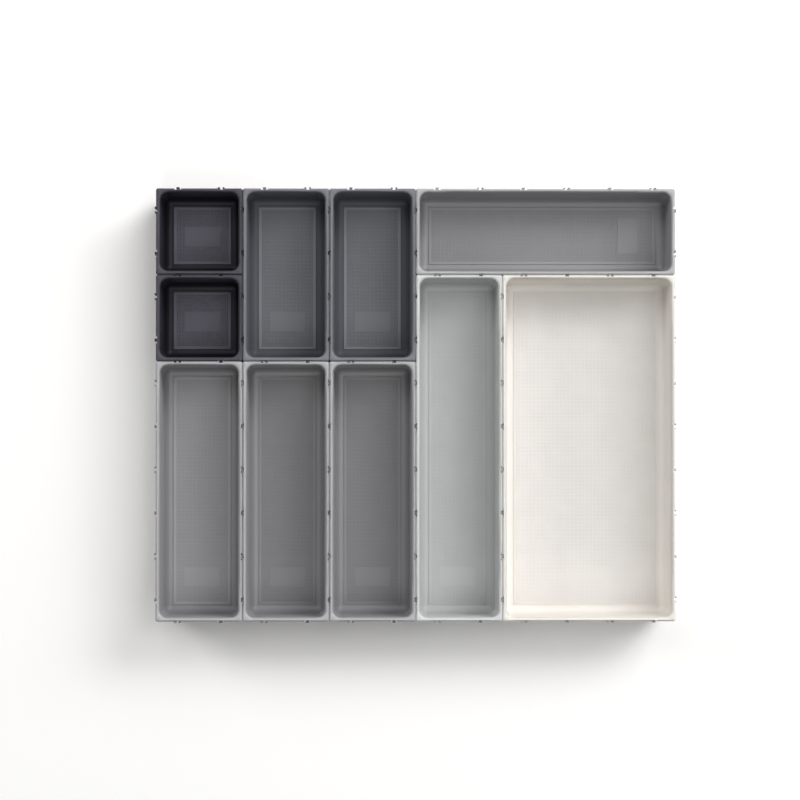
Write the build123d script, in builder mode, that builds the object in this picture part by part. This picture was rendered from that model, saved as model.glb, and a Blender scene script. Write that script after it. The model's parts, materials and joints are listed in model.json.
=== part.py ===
from build123d import *
import os
from math import radians, tan

os.makedirs("parts", exist_ok=True)

# Modular drawer organizer: ten open trays on one square grid. Every side of every tray carries
# the same row of dovetail connectors, so any tray mates with any other, turned either way.
# Millimetres and degrees. The origin is at the middle of the whole set, on the table.

# Grid that the trays share
module = 75.0                # footprint of one grid unit, each way
rim_gap = 0.1                # between the rims of two neighbouring trays

# Moulded shell of a tray
tray_height = 50.0           # table to top of rim
wall = 1.7                   # side wall, square to the module line
base_thickness = 2.0         # floor of the tray
draft = 1.5                  # slope of the side walls
inner_radius = 6.5           # round of the upright corners and along the floor, inside

# Rim
rim_width = 3.5              # seen from above
rim_thickness = 4.0          # depth of its lip
rim_corner = 1.8             # outer corner, seen from above
rim_outer_edge = 1.3         # bevel along the outer top edge
rim_inner_edge = 1.5         # bevel along the mouth

# Soft grip lining, moulded into a shallow pocket in the floor and a little proud of it
lining_margin = 1.1          # bare floor between the floor round and the lining
lining_thickness = 1.0
lining_edge = 0.25           # bevel along its top edge
pocket_depth = 0.4

# Dovetail connectors, two to a unit of side: one key and one socket
connector_drop = 1.2         # top of the connectors below the top of the rim
connector_height = 16.0
connector_reach = 1.0        # tip of both kinds beyond the module line
connector_clearance = 0.2
key_neck_width = 1.8
key_tip_width = 2.8
socket_width = 5.6

# Non-slip foot pads, four to a tray, bonded to the underside
pad_diameter = 8.0
pad_thickness = 0.8
pad_inset = 17.5             # middle of the pad from the module lines

# Trays of the set: columns and rows that each one covers, then its first column and row,
# counted from the left and from the front
layout = {
    "small_tray_a": (1, 1, 0, 4),
    "small_tray_b": (1, 1, 0, 3),
    "medium_tray_a": (1, 2, 1, 3),
    "medium_tray_b": (1, 2, 2, 3),
    "long_tray_a": (1, 3, 0, 0),
    "long_tray_b": (1, 3, 1, 0),
    "long_tray_c": (1, 3, 2, 0),
    "long_tray_d": (3, 1, 3, 4),
    "extra_long_tray": (1, 4, 3, 0),
    "large_tray": (2, 4, 4, 0),
}

# Sizes that follow
grid_columns = max(first_column + columns for columns, rows, first_column, first_row in layout.values())
grid_rows = max(first_row + rows for columns, rows, first_column, first_row in layout.values())

floor_level = pad_thickness + base_thickness
slope = tan(radians(draft))
fillet_run = tan(radians((90 - draft) / 2))

opening_inset = rim_gap / 2 + rim_width
wall_inset = opening_inset - wall
lining_inset = (opening_inset + (tray_height - floor_level) * slope
                + inner_radius * fillet_run + lining_margin)
outer_radius = inner_radius + wall

connector_top = tray_height - connector_drop
connector_bottom = connector_top - connector_height
seat_depth = connector_reach + connector_clearance
root_depth = wall_inset + (tray_height - connector_bottom) * slope + wall / 4
key_flare = (key_tip_width - key_neck_width) / 2 / (connector_reach + seat_depth)
slot_mouth = key_neck_width / 2 + connector_clearance
slot_floor = slot_mouth + key_flare * 2 * seat_depth


def units_of_side(columns, rows):
    """One place per unit of side, on the module line: y points outwards, x to the left from outside."""
    places = []
    for turn, along, across in ((0, columns, rows), (90, rows, columns),
                                (180, columns, rows), (270, rows, columns)):
        side = Location((0, 0, 0), (0, 0, turn))
        for unit in range(along):
            offset = (unit - (along - 1) / 2) * module
            places.append(side * Location((offset, across * module / 2, 0)))
    return places


def inset_rectangle(columns, rows, inset):
    """Rectangle that lies inside the tray's module lines by the same inset all round."""
    return Rectangle(columns * module - 2 * inset, rows * module - 2 * inset)


def make_drafted_block(columns, rows, base, inset, lowest, radius):
    """Block with the tray's draft, rounded along its upright edges and its lowest edges."""
    with BuildPart() as block:
        with BuildSketch(base.offset(tray_height)):
            inset_rectangle(columns, rows, inset)
        extrude(amount=-(tray_height - lowest), taper=draft)
        top_edges = block.edges().group_by(Axis.Z)[-1]
        fillet(block.edges() - top_edges, radius)
    return block


def make_tray(columns, rows, base):
    """Moulded tray: drafted shell, rim, and connectors all round."""
    top = base.offset(tray_height)
    foot_of_connectors = base.offset(connector_bottom)
    units = units_of_side(columns, rows)

    shell = make_drafted_block(columns, rows, base, wall_inset, pad_thickness, outer_radius)
    hollow = make_drafted_block(columns, rows, base, opening_inset, floor_level, inner_radius)

    with BuildPart() as tray:
        add(shell.part)

        # Rim that overhangs the shell
        with BuildSketch(top):
            inset_rectangle(columns, rows, rim_gap / 2)
            fillet(vertices(), rim_corner)
        extrude(amount=-rim_thickness)
        chamfer(tray.faces().sort_by(Axis.Z)[-1].outer_wire().edges(), rim_outer_edge)

        # Seats in the rim over the keys, where the neighbour's sockets pass when a tray is lifted
        with BuildSketch(top):
            with Locations(*units):
                with Locations((-module / 4, 0)):
                    Rectangle(socket_width + 2 * connector_clearance, 2 * seat_depth)
        extrude(amount=-rim_thickness, mode=Mode.SUBTRACT)

        # Keys, and the blocks of the sockets
        with BuildSketch(foot_of_connectors):
            with Locations(*units):
                with Locations((-module / 4, 0)):
                    Polygon((key_neck_width / 2, -root_depth), (key_neck_width / 2, -seat_depth),
                            (key_tip_width / 2, connector_reach), (-key_tip_width / 2, connector_reach),
                            (-key_neck_width / 2, -seat_depth), (-key_neck_width / 2, -root_depth),
                            align=None)
                with Locations((module / 4, -root_depth)):
                    Rectangle(socket_width, root_depth + connector_reach, align=(Align.CENTER, Align.MIN))
        extrude(amount=connector_height)

        # Slots of the sockets, which run up through the rim
        with BuildSketch(foot_of_connectors):
            with Locations(*units):
                with Locations((module / 4, 0)):
                    Polygon((slot_mouth, seat_depth), (-slot_mouth, seat_depth),
                            (-slot_floor, -seat_depth), (slot_floor, -seat_depth), align=None)
        extrude(amount=tray_height - connector_bottom, mode=Mode.SUBTRACT)

        # Inside, with a bevelled mouth
        add(hollow.part, mode=Mode.SUBTRACT)
        chamfer(tray.faces().sort_by(Axis.Z)[-1].inner_wires().edges(), rim_inner_edge)

        # Pocket of the lining
        with BuildSketch(base.offset(floor_level)):
            inset_rectangle(columns, rows, lining_inset)
        extrude(amount=-pocket_depth, mode=Mode.SUBTRACT)
    return tray


def make_lining(columns, rows, base):
    """Soft sheet that fills the pocket in the floor and stands proud of it."""
    with BuildPart() as lining:
        with BuildSketch(base.offset(floor_level - pocket_depth)):
            inset_rectangle(columns, rows, lining_inset)
        extrude(amount=lining_thickness)
        chamfer(lining.faces().sort_by(Axis.Z)[-1].edges(), lining_edge)
    return lining


def make_feet(columns, rows, base):
    """Four rubber pads that the tray stands on."""
    with BuildPart() as feet:
        with BuildSketch(base):
            with GridLocations(columns * module - 2 * pad_inset, rows * module - 2 * pad_inset, 2, 2):
                Circle(pad_diameter / 2)
        extrude(amount=pad_thickness)
    return feet


for name, (columns, rows, first_column, first_row) in layout.items():
    middle = ((first_column + (columns - grid_columns) / 2) * module,
              (first_row + (rows - grid_rows) / 2) * module, 0)
    base = Plane(middle)

    tray = make_tray(columns, rows, base)
    tray.part.label = name
    export_step(tray.part, f"parts/{name}.step")

    lining = make_lining(columns, rows, base)
    lining.part.label = f"{name}_lining"
    export_step(lining.part, f"parts/{name}_lining.step")

    feet = make_feet(columns, rows, base)
    feet.part.label = f"{name}_feet"
    export_step(feet.part, f"parts/{name}_feet.step")
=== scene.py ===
"""Modular drawer organizer: ten interlocking trays on a pale studio floor."""
import json
import math

import bmesh
import bpy
from mathutils import Matrix, Vector


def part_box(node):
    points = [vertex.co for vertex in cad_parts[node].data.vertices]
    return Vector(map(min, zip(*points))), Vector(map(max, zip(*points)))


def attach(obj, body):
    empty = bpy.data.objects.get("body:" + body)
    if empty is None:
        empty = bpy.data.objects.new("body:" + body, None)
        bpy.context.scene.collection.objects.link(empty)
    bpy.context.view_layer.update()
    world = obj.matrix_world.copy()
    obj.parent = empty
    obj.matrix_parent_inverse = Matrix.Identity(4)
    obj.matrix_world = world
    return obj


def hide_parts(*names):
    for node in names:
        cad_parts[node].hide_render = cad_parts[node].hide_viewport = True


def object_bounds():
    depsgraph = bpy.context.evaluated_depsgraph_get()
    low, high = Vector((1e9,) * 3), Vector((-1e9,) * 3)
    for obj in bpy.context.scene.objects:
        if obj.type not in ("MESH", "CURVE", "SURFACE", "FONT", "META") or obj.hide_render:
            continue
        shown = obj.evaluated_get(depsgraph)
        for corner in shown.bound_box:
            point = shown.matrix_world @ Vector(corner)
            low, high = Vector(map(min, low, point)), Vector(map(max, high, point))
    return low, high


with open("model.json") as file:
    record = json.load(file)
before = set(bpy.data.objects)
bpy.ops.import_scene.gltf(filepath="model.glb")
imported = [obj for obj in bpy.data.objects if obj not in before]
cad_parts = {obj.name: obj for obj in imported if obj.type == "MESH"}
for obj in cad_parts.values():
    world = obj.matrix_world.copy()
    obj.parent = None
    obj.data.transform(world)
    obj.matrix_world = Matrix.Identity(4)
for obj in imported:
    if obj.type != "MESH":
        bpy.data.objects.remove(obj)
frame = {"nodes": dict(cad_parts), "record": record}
cad_low, cad_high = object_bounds()

MM = 0.001
TRAYS = list(frame["record"]["behaviour"]["bodies"])

# Grid of the set
MODULE = 75.0 * MM
RIM_TOP = cad_high.z
LINING_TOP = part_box("large_tray_lining")[1].z

# Raised grid of the grip linings
GRID_PITCH = 3.33 * MM
GRID_BORDER = 2.6 * MM              # smooth border of the lining, outside the ends of the ribs
RIB_RADIUS = 0.70 * MM
RIB_SIDES = 8
RIB_SINK = 0.50 * MM                # how far the middle of a rib lies below the lining's surface
BED_THICKNESS = 0.40 * MM
BED_RISE = 0.04 * MM                # top of the bed above the lining's surface

# Smooth bare plate in the middle of the end unit of a lining
PLATE_LENGTH = 32.0 * MM
PLATE_WIDTH = 18.0 * MM
PLATE_HEIGHT = 0.45 * MM
PLATE_CORNER = 1.2 * MM
PLATE_EDGE = 0.25 * MM
CORNER_STEPS = 6
EDGE_STEPS = 3

# Merging of the shells' loose triangles, and shading of shells and grids as curved
MERGE_DISTANCE = 0.001 * MM
SHARP_ANGLE = math.radians(50)

# Linear colours of each tone
SHELL_COLOURS = {
    "black": (0.016, 0.0145, 0.021),
    "charcoal": (0.096, 0.100, 0.115),
    "mid_grey": (0.282, 0.282, 0.291),
    "pale_grey": (0.500, 0.510, 0.507),
    "cream": (0.770, 0.738, 0.692),
}
RIM_HIGHLIGHT_COLOURS = {                     # painted highlight: the rim paler, in place of the gloss on its rolled edge
    "black": (0.064, 0.061, 0.073),
    "charcoal": (0.179, 0.180, 0.200),
    "mid_grey": (0.386, 0.386, 0.395),
    "pale_grey": (0.578, 0.585, 0.583),
    "cream": (0.722, 0.698, 0.654),
}
BORDER_AND_SHEEN_COLOURS = {                  # smooth border of the lining: its own colour, made paler than the grid by a painted sheen
    "black": (0.111, 0.105, 0.138),
    "charcoal": (0.214, 0.219, 0.242),
    "mid_grey": (0.292, 0.292, 0.300),
    "pale_grey": (0.492, 0.501, 0.496),
    "cream": (0.725, 0.697, 0.668),
}
GRIP_COLOURS = {                    # raised grid of the lining, and the bare plate
    "black": (0.068, 0.064, 0.085),
    "charcoal": (0.136, 0.140, 0.155),
    "mid_grey": (0.238, 0.238, 0.246),
    "pale_grey": (0.463, 0.472, 0.467),
    "cream": (0.700, 0.674, 0.650),
}
FOOT_GREY = (0.42, 0.42, 0.41)

# Changes of those colours: painted shade on the shell low in the tray (a touch paler for cream),
# how far the bare floor goes towards the colour of the lining's border as painted light, a painted
# highlight on the tops of the ribs and the plate, the rim's scuffs, and linings partly of another
# batch and partly painted light and shade
# painted shade: the shell darker low down, a touch paler for cream
LOW_PAINTED_SHADES = {"black": 0.80, "charcoal": 0.88, "mid_grey": 0.82, "pale_grey": 0.92, "cream": 1.02}
# painted light: the bare floor round the lining paler, lifting the shade there
BARE_FLOOR_LIGHT_SHARES = {"black": 0.0, "charcoal": 0.0, "mid_grey": 0.5, "pale_grey": 0.5, "cream": 0.5}
# painted highlight: the tops of the ribs and the plate paler, most on dark tones
RIB_TOP_HIGHLIGHTS = {"black": 1.30, "charcoal": 1.18, "mid_grey": 1.07, "pale_grey": 1.04,
                 "cream": 1.02}
SCUFF_SHADE = 1.18
# partly another batch, partly painted light and shade: long_tray_a's lining paler, b's and c's
# darker
LINING_BATCH_AND_LIGHT_SHADES = {"long_tray_a": 1.26, "long_tray_b": 0.88, "long_tray_c": 0.88}

# Gloss
SHELL_SPECULAR = {"black": 0.14, "charcoal": 0.18, "mid_grey": 0.42, "pale_grey": 0.44,
                  "cream": 0.55}
SHELL_ROUGHNESS = (0.38, 0.44)
LINING_SPECULAR = 0.35
LINING_ROUGHNESS = (0.42, 0.50)
FOOT_ROUGHNESS = (0.55, 0.75)

# Heights between which one finish, painted shade or painted highlight turns into the next
LOW_PAINTED_SHADE_HEIGHTS = (LINING_TOP + 0.5 * MM, LINING_TOP + 8.0 * MM)
PAINTED_FLOOR_LIGHT_HEIGHTS = (LINING_TOP - 0.4 * MM, LINING_TOP + 0.4 * MM)
RIB_TOP_HIGHLIGHT_HEIGHTS = (LINING_TOP + BED_RISE + 0.02 * MM, LINING_TOP + 0.12 * MM)
RIM_HIGHLIGHT_HEIGHTS = (RIM_TOP - 2.6 * MM, RIM_TOP - 1.2 * MM)
SCUFF_HEIGHTS = (RIM_TOP - 1.2 * MM, RIM_TOP - 0.2 * MM)
UPWARD = (0.2, 0.6)                 # upward part of a normal, over which it counts as floor

# Textures: their features per metre, and how deep their relief is
SHELL_CLOUDS, SHELL_GLOSS, SHELL_RIPPLE, SHELL_GRAIN = 28, 70, 500, 2600
RIM_SCUFFS = 160
LINING_CLOUDS, LINING_GLOSS, LINING_GRAIN = 45, 120, 1800
FOOT_CLOUDS, FOOT_GLOSS, FOOT_GRAIN = 300, 900, 1500
SHELL_RELIEF = 0.02 * MM
SOFT_RELIEF = 0.03 * MM
NOISE_SPAN = (0.3, 0.7)             # nearly all of a noise texture's values lie between these
SCUFF_SPAN = (0.52, 0.66)           # values of the scuffs' noise over which a scuff comes up
SCUFF_STRENGTH = 0.5

# Floor and surround
FLOOR_RADIUS = 6.0
FLOOR_SIDES = 96
FLOOR_DROP = 0.2 * MM               # below the feet, so that they don't share a plane
FLOOR_WHITE = (0.80, 0.80, 0.80)    # as it lights the set
FLOOR_SEEN = (1.025, 1.017, 1.000)  # as it is seen
FLOOR_BLEND = (0.36, 1.00)          # metres from the middle over which it turns plain white
WORLD_FILL = 0.01
PLAIN_WHITE = (1.0, 1.0, 1.0, 1.0)

# Camera, high above the set; the middle and the width of its view are on the rims
CAMERA_X = -45.0 * MM
CAMERA_Y = -35.0 * MM
CAMERA_HEIGHT = 2285.0 * MM         # above the rims
VIEW_X = -13.7 * MM
VIEW_Y = 4.1 * MM
VIEW_WIDTH = 692.4 * MM
SENSOR_WIDTH = 36.0                 # millimetres, as a camera has it

# Softboxes around the set: degrees clockwise from the back, degrees up from the floor, and watts
SOFTBOX_DISTANCE = 3.0
SOFTBOX_SIDE = 1.2
SOFTBOXES = {
    "low_back": (0, 18, 4.0),
    "key_back": (30, 27, 9.5),
    "key_high_right": (45, 40, 32.0),
    "key_right": (60, 27, 31.0),
    "high_right": (60, 70, 18.5),
    "side_right": (110, 30, 4.5),
    "high_front_right": (120, 62, 3.5),
    "high_front": (180, 62, 16.0),
    "side_left": (300, 27, 30.0),
    "high_left": (330, 60, 12.0),
}


# ---------------------------------------------------------------- node helpers

def add_node(tree, kind, inputs=(), **properties):
    """A node with its properties and inputs set."""
    made = tree.nodes.new(kind)
    for name, value in properties.items():
        setattr(made, name, value)
    for name, value in dict(inputs).items():
        made.inputs[name].default_value = value
    return made


def new_material(name):
    """A node material, its tree and its Principled shader, and the coordinates of its object."""
    material = bpy.data.materials.new(name)
    material.use_nodes = True
    tree = material.node_tree
    return material, tree, tree.nodes["Principled BSDF"], add_node(tree, "ShaderNodeTexCoord")


def noise(tree, place, scale, detail, roughness=0.5):
    """Noise over the object's own coordinates; scale is features per metre."""
    texture = add_node(tree, "ShaderNodeTexNoise",
                       {"Scale": scale, "Detail": detail, "Roughness": roughness})
    tree.links.new(place.outputs["Object"], texture.inputs["Vector"])
    return texture.outputs["Fac"]


def spread(tree, value, span, low, high):
    """Value of a span turned to the range from low to high, and held at its ends."""
    ranged = add_node(tree, "ShaderNodeMapRange",
                      {"From Min": span[0], "From Max": span[1], "To Min": low, "To Max": high})
    tree.links.new(value, ranged.inputs["Value"])
    return ranged.outputs["Result"]


def upright(tree, place, output):
    """Z of the object's coordinates or of its normal."""
    split = add_node(tree, "ShaderNodeSeparateXYZ")
    tree.links.new(place.outputs[output], split.inputs[0])
    return split.outputs["Z"]


def combine(tree, operation, a, b):
    """Math node on two sockets."""
    made = add_node(tree, "ShaderNodeMath", operation=operation)
    tree.links.new(a, made.inputs[0])
    tree.links.new(b, made.inputs[1])
    return made.outputs[0]


def mix_shaders(tree, amount, first, second):
    """Shader between two, by an amount from a socket."""
    mixed = add_node(tree, "ShaderNodeMixShader")
    tree.links.new(amount, mixed.inputs["Fac"])
    tree.links.new(first.outputs[0], mixed.inputs[1])
    tree.links.new(second.outputs[0], mixed.inputs[2])
    return mixed


def mix_colour(tree, amount, first, second):
    """Colour between two, by an amount from a socket; each colour is a socket or three numbers."""
    mixed = add_node(tree, "ShaderNodeMix", data_type="RGBA")
    tree.links.new(amount, mixed.inputs["Factor"])
    for name, colour in (("A", first), ("B", second)):
        socket = next(s for s in mixed.inputs if s.name == name and s.type == "RGBA")
        if isinstance(colour, bpy.types.NodeSocket):
            tree.links.new(colour, socket)
        else:
            socket.default_value = (*colour, 1.0)
    return next(s for s in mixed.outputs if s.type == "RGBA")


def seen_rays(tree):
    """1 for rays that show the surround: from the camera, off gloss or through glass."""
    rays = add_node(tree, "ShaderNodeLightPath")
    shown = combine(tree, "MAXIMUM", rays.outputs["Is Camera Ray"], rays.outputs["Is Glossy Ray"])
    return combine(tree, "MAXIMUM", shown, rays.outputs["Is Transmission Ray"])


def shade(colour, factor):
    """Colour made darker or paler, but no paler than white."""
    return tuple(min(1.0, part * factor) for part in colour)


def clouded(tree, place, scale, colour, detail, change):
    """Colour in faint clouds, a little darker and a little paler than its mean."""
    clouds = spread(tree, noise(tree, place, scale, detail), NOISE_SPAN, 0.0, 1.0)
    return mix_colour(tree, clouds, shade(colour, 1 - change), shade(colour, 1 + change))


def set_gloss(tree, shader, place, scale, roughness, detail):
    """Roughness that varies between two values in clouds."""
    gloss = spread(tree, noise(tree, place, scale, detail), NOISE_SPAN, *roughness)
    tree.links.new(gloss, shader.inputs["Roughness"])


def set_relief(tree, shader, depth, textures):
    """Chained bumps of one depth in metres, each from a texture."""
    normal = None
    for texture in textures:
        made = add_node(tree, "ShaderNodeBump", {"Strength": 1.0, "Distance": depth})
        tree.links.new(texture, made.inputs["Height"])
        if normal is not None:
            tree.links.new(normal, made.inputs["Normal"])
        normal = made.outputs["Normal"]
    tree.links.new(normal, shader.inputs["Normal"])


# ---------------------------------------------------------------- materials

def moulded_plastic(tone):
    """Satin injection moulding: faint clouding, fine eroded texture, scuffed rim; painted
    highlight on the rim, painted shade low down, painted light on the bare floor.
    """
    colour, rim_highlight_colour = SHELL_COLOURS[tone], RIM_HIGHLIGHT_COLOURS[tone]
    material, tree, shader, place = new_material(tone + "_shell")
    height = upright(tree, place, "Object")

    # Faint clouds, and painted shade low on the shell, over the rounds in the tray (a touch paler
    # for cream)
    unshaded = clouded(tree, place, SHELL_CLOUDS, colour, detail=4, change=0.035)
    above = spread(tree, height, LOW_PAINTED_SHADE_HEIGHTS, 0.0, 1.0)
    body = mix_colour(tree, above, shade(colour, LOW_PAINTED_SHADES[tone]), unshaded)

    # Bare floor round the lining, part of the way to the paleness of the lining's border: painted
    # light that lifts the shade along the foot of the walls
    level = spread(tree, upright(tree, place, "Normal"), UPWARD, 0.0, 1.0)
    low = spread(tree, height, PAINTED_FLOOR_LIGHT_HEIGHTS, BARE_FLOOR_LIGHT_SHARES[tone], 0.0)
    body = mix_colour(tree, combine(tree, "MULTIPLY", level, low), body, BORDER_AND_SHEEN_COLOURS[tone])

    # Rim, paler as a painted highlight, and scuffed along its top
    highlighted = mix_colour(tree, spread(tree, height, RIM_HIGHLIGHT_HEIGHTS, 0.0, 1.0), body, rim_highlight_colour)
    marks = noise(tree, place, RIM_SCUFFS, detail=6, roughness=0.7)
    worn = combine(tree, "MULTIPLY", spread(tree, height, SCUFF_HEIGHTS, 0.0, 1.0),
                   spread(tree, marks, SCUFF_SPAN, 0.0, SCUFF_STRENGTH))
    scuffed = mix_colour(tree, worn, highlighted, shade(rim_highlight_colour, SCUFF_SHADE))
    tree.links.new(scuffed, shader.inputs["Base Color"])

    shader.inputs["Specular IOR Level"].default_value = SHELL_SPECULAR[tone]
    set_gloss(tree, shader, place, SHELL_GLOSS, SHELL_ROUGHNESS, detail=5)
    set_relief(tree, shader, SHELL_RELIEF, [noise(tree, place, SHELL_GRAIN, detail=2),
                                            noise(tree, place, SHELL_RIPPLE, detail=2)])
    return material


def soft_grip(name, colour, rib_top_highlight):
    """Soft-touch lining: matt, with a little dust in it, and a painted highlight that makes the
    tops of its ribs and its plate paler.
    """
    material, tree, shader, place = new_material(name)
    body = clouded(tree, place, LINING_CLOUDS, colour, detail=5, change=0.03)
    # painted highlight: the tops of the ribs, and the whole plate, paler
    on_rib = spread(tree, upright(tree, place, "Object"), RIB_TOP_HIGHLIGHT_HEIGHTS, 0.0, 1.0)
    highlighted = mix_colour(tree, on_rib, body, shade(colour, rib_top_highlight))
    tree.links.new(highlighted, shader.inputs["Base Color"])

    shader.inputs["Specular IOR Level"].default_value = LINING_SPECULAR
    set_gloss(tree, shader, place, LINING_GLOSS, LINING_ROUGHNESS, detail=4)
    set_relief(tree, shader, SOFT_RELIEF, [noise(tree, place, LINING_GRAIN, detail=3)])
    return material


def foot_rubber():
    """Grey rubber with a fine matt skin."""
    material, tree, shader, place = new_material("foot_rubber")
    body = clouded(tree, place, FOOT_CLOUDS, FOOT_GREY, detail=4, change=0.1)
    tree.links.new(body, shader.inputs["Base Color"])
    set_gloss(tree, shader, place, FOOT_GLOSS, FOOT_ROUGHNESS, detail=3)
    set_relief(tree, shader, SOFT_RELIEF, [noise(tree, place, FOOT_GRAIN, detail=3)])
    return material


# ---------------------------------------------------------------- grip grid

def grip_grid_tree():
    """Geometry Nodes tree: a thin bed, and two sets of rounded ribs that cross at right angles."""
    tree = bpy.data.node_groups.new("grip_grid", "GeometryNodeTree")
    tree.interface.new_socket("Geometry", in_out="OUTPUT", socket_type="NodeSocketGeometry")
    for name in ("Length X", "Length Y", "Pitch", "Rib Radius", "Bed Thickness", "Bed Height"):
        tree.interface.new_socket(name, in_out="INPUT", socket_type="NodeSocketFloat")
    tree.interface.new_socket("Centre", in_out="INPUT", socket_type="NodeSocketVector")
    tree.interface.new_socket("Material", in_out="INPUT", socket_type="NodeSocketMaterial")
    entry = add_node(tree, "NodeGroupInput")
    leave = add_node(tree, "NodeGroupOutput")

    def maths(operation, *values):
        made = add_node(tree, "ShaderNodeMath", operation=operation)
        for socket, value in zip(made.inputs, values):
            if isinstance(value, bpy.types.NodeSocket):
                tree.links.new(value, socket)
            else:
                socket.default_value = value
        return made.outputs[0]

    def vector(axis, value):
        made = add_node(tree, "ShaderNodeCombineXYZ")
        tree.links.new(value, made.inputs[axis])
        return made.outputs[0]

    joined = add_node(tree, "GeometryNodeJoinGeometry")

    # Thin bed that the ribs stand out of
    size = add_node(tree, "ShaderNodeCombineXYZ")
    for axis in ("X", "Y"):
        tree.links.new(entry.outputs["Length " + axis], size.inputs[axis])
    tree.links.new(entry.outputs["Bed Thickness"], size.inputs["Z"])
    bed = add_node(tree, "GeometryNodeMeshCube")
    tree.links.new(size.outputs[0], bed.inputs["Size"])
    lifted = add_node(tree, "GeometryNodeTransform")
    tree.links.new(bed.outputs["Mesh"], lifted.inputs["Geometry"])
    tree.links.new(vector("Z", entry.outputs["Bed Height"]), lifted.inputs["Translation"])
    tree.links.new(lifted.outputs["Geometry"], joined.inputs["Geometry"])

    # Ribs along each side, a whole number of pitches apart and centred
    ring = add_node(tree, "GeometryNodeCurvePrimitiveCircle", {"Resolution": RIB_SIDES})
    tree.links.new(entry.outputs["Rib Radius"], ring.inputs["Radius"])
    pitch = entry.outputs["Pitch"]
    for along, across in (("X", "Y"), ("Y", "X")):
        half = maths("MULTIPLY", entry.outputs["Length " + along], 0.5)
        line = add_node(tree, "GeometryNodeCurvePrimitiveLine")
        tree.links.new(vector(along, maths("MULTIPLY", half, -1.0)), line.inputs["Start"])
        tree.links.new(vector(along, half), line.inputs["End"])
        rib = add_node(tree, "GeometryNodeCurveToMesh", {"Fill Caps": True})
        tree.links.new(line.outputs["Curve"], rib.inputs["Curve"])
        tree.links.new(ring.outputs["Curve"], rib.inputs["Profile Curve"])

        steps = maths("FLOOR", maths("DIVIDE", entry.outputs["Length " + across], pitch))
        first = maths("MULTIPLY", maths("MULTIPLY", steps, pitch), -0.5)
        row = add_node(tree, "GeometryNodeMeshLine", mode="OFFSET")
        tree.links.new(maths("ADD", steps, 1.0), row.inputs["Count"])
        tree.links.new(vector(across, first), row.inputs["Start Location"])
        tree.links.new(vector(across, pitch), row.inputs["Offset"])
        ribs = add_node(tree, "GeometryNodeInstanceOnPoints")
        tree.links.new(row.outputs["Mesh"], ribs.inputs["Points"])
        tree.links.new(rib.outputs["Mesh"], ribs.inputs["Instance"])
        tree.links.new(ribs.outputs["Instances"], joined.inputs["Geometry"])

    placed = add_node(tree, "GeometryNodeTransform")
    real = add_node(tree, "GeometryNodeRealizeInstances")
    painted = add_node(tree, "GeometryNodeSetMaterial")
    tree.links.new(joined.outputs["Geometry"], placed.inputs["Geometry"])
    tree.links.new(entry.outputs["Centre"], placed.inputs["Translation"])
    tree.links.new(placed.outputs["Geometry"], real.inputs["Geometry"])
    tree.links.new(real.outputs["Geometry"], painted.inputs["Geometry"])
    tree.links.new(entry.outputs["Material"], painted.inputs["Material"])
    tree.links.new(painted.outputs["Geometry"], leave.inputs["Geometry"])
    return tree


# ---------------------------------------------------------------- pieces

def new_object(name, data):
    """Object of the scene that holds a mesh or another kind of data."""
    made = bpy.data.objects.new(name, data)
    bpy.context.scene.collection.objects.link(made)
    return made


def finished_mesh(name, mesh):
    """Plain mesh from a bmesh, which is freed."""
    data = bpy.data.meshes.new(name)
    mesh.to_mesh(data)
    mesh.free()
    return data


def shade_rounds(data):
    """Shade a mesh as curved, apart from its sharp edges."""
    data.shade_smooth()
    data.set_sharp_from_angle(angle=SHARP_ANGLE)


def paint(piece, material):
    """Give a piece one material, in place of any that it has."""
    piece.data.materials.clear()
    piece.data.materials.append(material)


def grown(name, tree, values):
    """Plain mesh object from a Geometry Nodes tree and its named inputs."""
    carrier = new_object(name + "_carrier", bpy.data.meshes.new(name + "_carrier"))
    modifier = carrier.modifiers.new("grow", "NODES")
    modifier.node_group = tree
    for item in tree.interface.items_tree:
        if item.in_out == "INPUT":
            modifier[item.identifier] = values[item.name]
    evaluated = carrier.evaluated_get(bpy.context.evaluated_depsgraph_get())
    mesh = bpy.data.meshes.new_from_object(evaluated)
    mesh.name = name
    bpy.data.objects.remove(carrier)
    return new_object(name, mesh)


def grip_grid(tray, tree, material):
    """Raised grid on a tray's lining."""
    low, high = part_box(tray + "_lining")
    middle = (low + high) / 2
    grid = grown(tray + "_grip_grid", tree, {
        "Length X": high.x - low.x - 2 * GRID_BORDER,
        "Length Y": high.y - low.y - 2 * GRID_BORDER,
        "Pitch": GRID_PITCH,
        "Rib Radius": RIB_RADIUS,
        "Bed Thickness": BED_THICKNESS,
        "Bed Height": RIB_SINK + BED_RISE - BED_THICKNESS / 2,
        "Centre": (middle.x, middle.y, high.z - RIB_SINK),
        "Material": material,
    })
    shade_rounds(grid.data)
    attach(grid, tray)
    return grid


def rounded_outline(length, width, corner):
    """Corner points of a rounded rectangle about the origin, counterclockwise."""
    points = []
    for quadrant, (side_x, side_y) in enumerate(((1, 1), (-1, 1), (-1, -1), (1, -1))):
        for step in range(CORNER_STEPS + 1):
            angle = math.pi / 2 * (quadrant + step / CORNER_STEPS)
            points.append((side_x * (length / 2 - corner) + corner * math.cos(angle),
                           side_y * (width / 2 - corner) + corner * math.sin(angle), 0))
    return points


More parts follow.
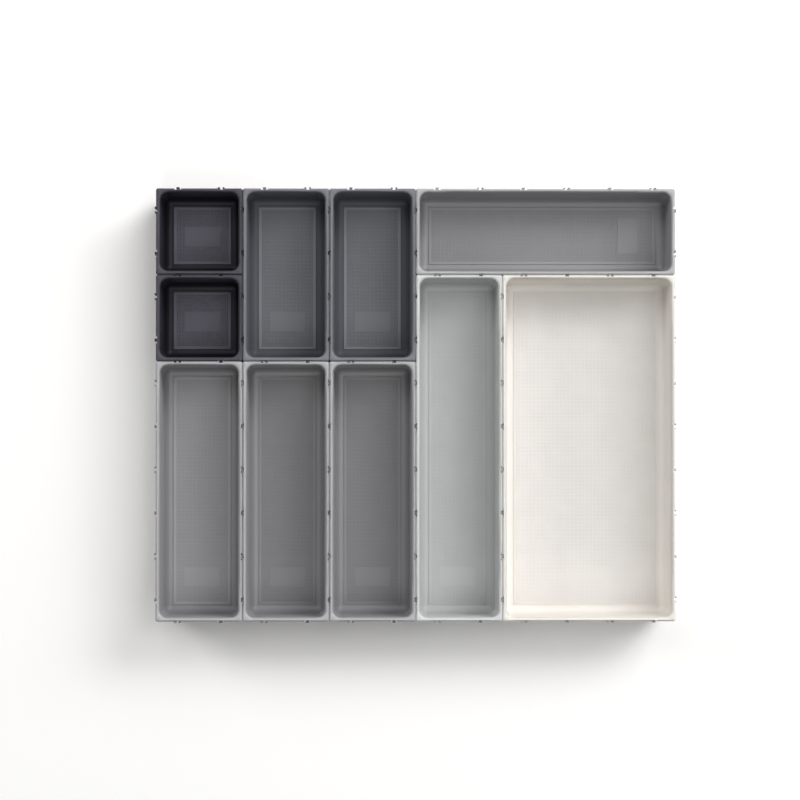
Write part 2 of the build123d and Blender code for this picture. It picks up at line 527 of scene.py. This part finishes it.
def bare_plate(tray, material):
    """Smooth plate over the grid, in the middle of the tray's end unit."""
    low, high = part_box(tray + "_lining")
    rim_low, rim_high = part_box(tray)
    middle = (low + high) / 2
    turned = rim_high.x - rim_low.x > rim_high.y - rim_low.y + MODULE / 2
    if turned:
        centre = Vector((rim_high.x - MODULE / 2, middle.y, high.z))
    else:
        centre = Vector((middle.x, rim_low.y + MODULE / 2, high.z))

    mesh = bmesh.new()
    outline = rounded_outline(PLATE_LENGTH, PLATE_WIDTH, PLATE_CORNER)
    base = mesh.faces.new([mesh.verts.new(point) for point in outline])
    top = bmesh.ops.extrude_face_region(mesh, geom=[base])
    raised = [part for part in top["geom"] if isinstance(part, bmesh.types.BMVert)]
    bmesh.ops.translate(mesh, verts=raised, vec=(0, 0, PLATE_HEIGHT))
    top_edges = [e for e in mesh.edges if all(v.co.z > PLATE_HEIGHT / 2 for v in e.verts)]
    bmesh.ops.bevel(mesh, geom=top_edges, offset=PLATE_EDGE, segments=EDGE_STEPS, affect="EDGES")
    bmesh.ops.recalc_face_normals(mesh, faces=mesh.faces)
    turn = Matrix.Rotation(math.pi / 2 if turned else 0.0, 4, "Z")
    bmesh.ops.transform(mesh, matrix=Matrix.Translation(centre) @ turn, verts=mesh.verts)

    plate = new_object(tray + "_plate", finished_mesh(tray + "_plate", mesh))
    paint(plate, material)
    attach(plate, tray)
    return plate


def smooth_shell(tray, material):
    """Tray's shell, its loose triangles merged and its rounds and bevels shaded as curves."""
    mesh = bmesh.new()
    mesh.from_mesh(frame["nodes"][tray].data)
    bmesh.ops.remove_doubles(mesh, verts=mesh.verts, dist=MERGE_DISTANCE)
    shell = new_object(tray + "_shell", finished_mesh(tray + "_shell", mesh))
    shade_rounds(shell.data)
    even = shell.modifiers.new("even_shading", "WEIGHTED_NORMAL")
    even.keep_sharp = True
    paint(shell, material)
    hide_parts(tray)
    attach(shell, tray)
    return shell


# ---------------------------------------------------------------- dressing of the set

tones = {part["node"]: part["material_slot"] for part in frame["record"]["subparts"]}
shells = {tone: moulded_plastic(tone) for tone in SHELL_COLOURS}
rubber = foot_rubber()
ribs = grip_grid_tree()

linings = {}
for tray in TRAYS:
    tone = tones[tray]
    smooth_shell(tray, shells[tone])
    paint(frame["nodes"][tray + "_feet"], rubber)

    # lining shade partly of another batch, partly painted light and shade
    batch_and_light = LINING_BATCH_AND_LIGHT_SHADES.get(tray, 1.0)
    if (tone, batch_and_light) not in linings:
        linings[tone, batch_and_light] = [
            soft_grip("%s_%s_%d" % (tone, part, 100 * batch_and_light), shade(colours[tone], batch_and_light),
                      RIB_TOP_HIGHLIGHTS[tone])
            for part, colours in (("border", BORDER_AND_SHEEN_COLOURS), ("grip", GRIP_COLOURS))]
    border, grip = linings[tone, batch_and_light]
    paint(frame["nodes"][tray + "_lining"], border)
    grip_grid(tray, ribs, grip)
    if tray != "large_tray":
        bare_plate(tray, grip)


# ---------------------------------------------------------------- studio

def studio_floor():
    """Pale floor, seen bright so that the open floor is white and the shadow stays."""
    mesh = bmesh.new()
    bmesh.ops.create_circle(mesh, cap_ends=True, segments=FLOOR_SIDES, radius=FLOOR_RADIUS)
    floor = new_object("floor", finished_mesh("floor", mesh))
    floor.location.z = -FLOOR_DROP

    material = bpy.data.materials.new("floor_paper")
    material.use_nodes = True
    tree = material.node_tree
    tree.nodes.clear()
    leave = add_node(tree, "ShaderNodeOutputMaterial")
    matt = add_node(tree, "ShaderNodeBsdfDiffuse", {"Color": (*FLOOR_WHITE, 1.0)})
    near = add_node(tree, "ShaderNodeBsdfDiffuse", {"Color": (*FLOOR_SEEN, 1.0)})
    far = add_node(tree, "ShaderNodeEmission", {"Color": PLAIN_WHITE, "Strength": 1.0})

    # Far from the set and its shadow, the floor is seen as plain white, as the surround is
    place = add_node(tree, "ShaderNodeTexCoord")
    distance = add_node(tree, "ShaderNodeVectorMath", operation="LENGTH")
    tree.links.new(place.outputs["Object"], distance.inputs[0])
    away = spread(tree, distance.outputs["Value"], FLOOR_BLEND, 0.0, 1.0)
    chosen = mix_shaders(tree, seen_rays(tree), matt, mix_shaders(tree, away, near, far))
    tree.links.new(chosen.outputs[0], leave.inputs["Surface"])
    paint(floor, material)


def studio_world():
    """Even white surround: full white where it is seen, weaker where it lights the set."""
    world = bpy.data.worlds.new("studio")
    bpy.context.scene.world = world
    world.use_nodes = True
    tree = world.node_tree
    tree.nodes.clear()
    leave = add_node(tree, "ShaderNodeOutputWorld")
    fill = add_node(tree, "ShaderNodeBackground", {"Color": PLAIN_WHITE, "Strength": WORLD_FILL})
    seen = add_node(tree, "ShaderNodeBackground", {"Color": PLAIN_WHITE, "Strength": 1.0})
    chosen = mix_shaders(tree, seen_rays(tree), fill, seen)
    tree.links.new(chosen.outputs[0], leave.inputs["Surface"])


def softbox(name, bearing, elevation, power):
    """Square lamp aimed at the set."""
    lamp = bpy.data.lights.new(name, "AREA")
    lamp.shape = "SQUARE"
    lamp.size = SOFTBOX_SIDE
    lamp.energy = power
    turn, rise = math.radians(bearing), math.radians(elevation)
    towards = Vector((math.sin(turn) * math.cos(rise), math.cos(turn) * math.cos(rise),
                      math.sin(rise)))
    box = new_object(name, lamp)
    box.location = towards * SOFTBOX_DISTANCE
    box.rotation_mode = "QUATERNION"
    box.rotation_quaternion = (-towards).to_track_quat("-Z", "Y")


def overhead_camera():
    """Long lens high above the set, a little off its middle, aimed at the middle of the view."""
    place = Vector((CAMERA_X, CAMERA_Y, RIM_TOP + CAMERA_HEIGHT))
    aim = Vector((VIEW_X, VIEW_Y, RIM_TOP)) - place
    data = bpy.data.cameras.new("camera")
    data.sensor_width = SENSOR_WIDTH
    data.lens = SENSOR_WIDTH * aim.length / VIEW_WIDTH
    camera = new_object("camera", data)
    camera.location = place
    camera.rotation_euler = Vector((0, 0, -1)).rotation_difference(aim).to_euler()
    bpy.context.scene.camera = camera


studio_floor()
studio_world()
for name, (bearing, elevation, power) in SOFTBOXES.items():
    softbox(name, bearing, elevation, power)
overhead_camera()
bpy.context.scene.view_settings.view_transform = "Standard"
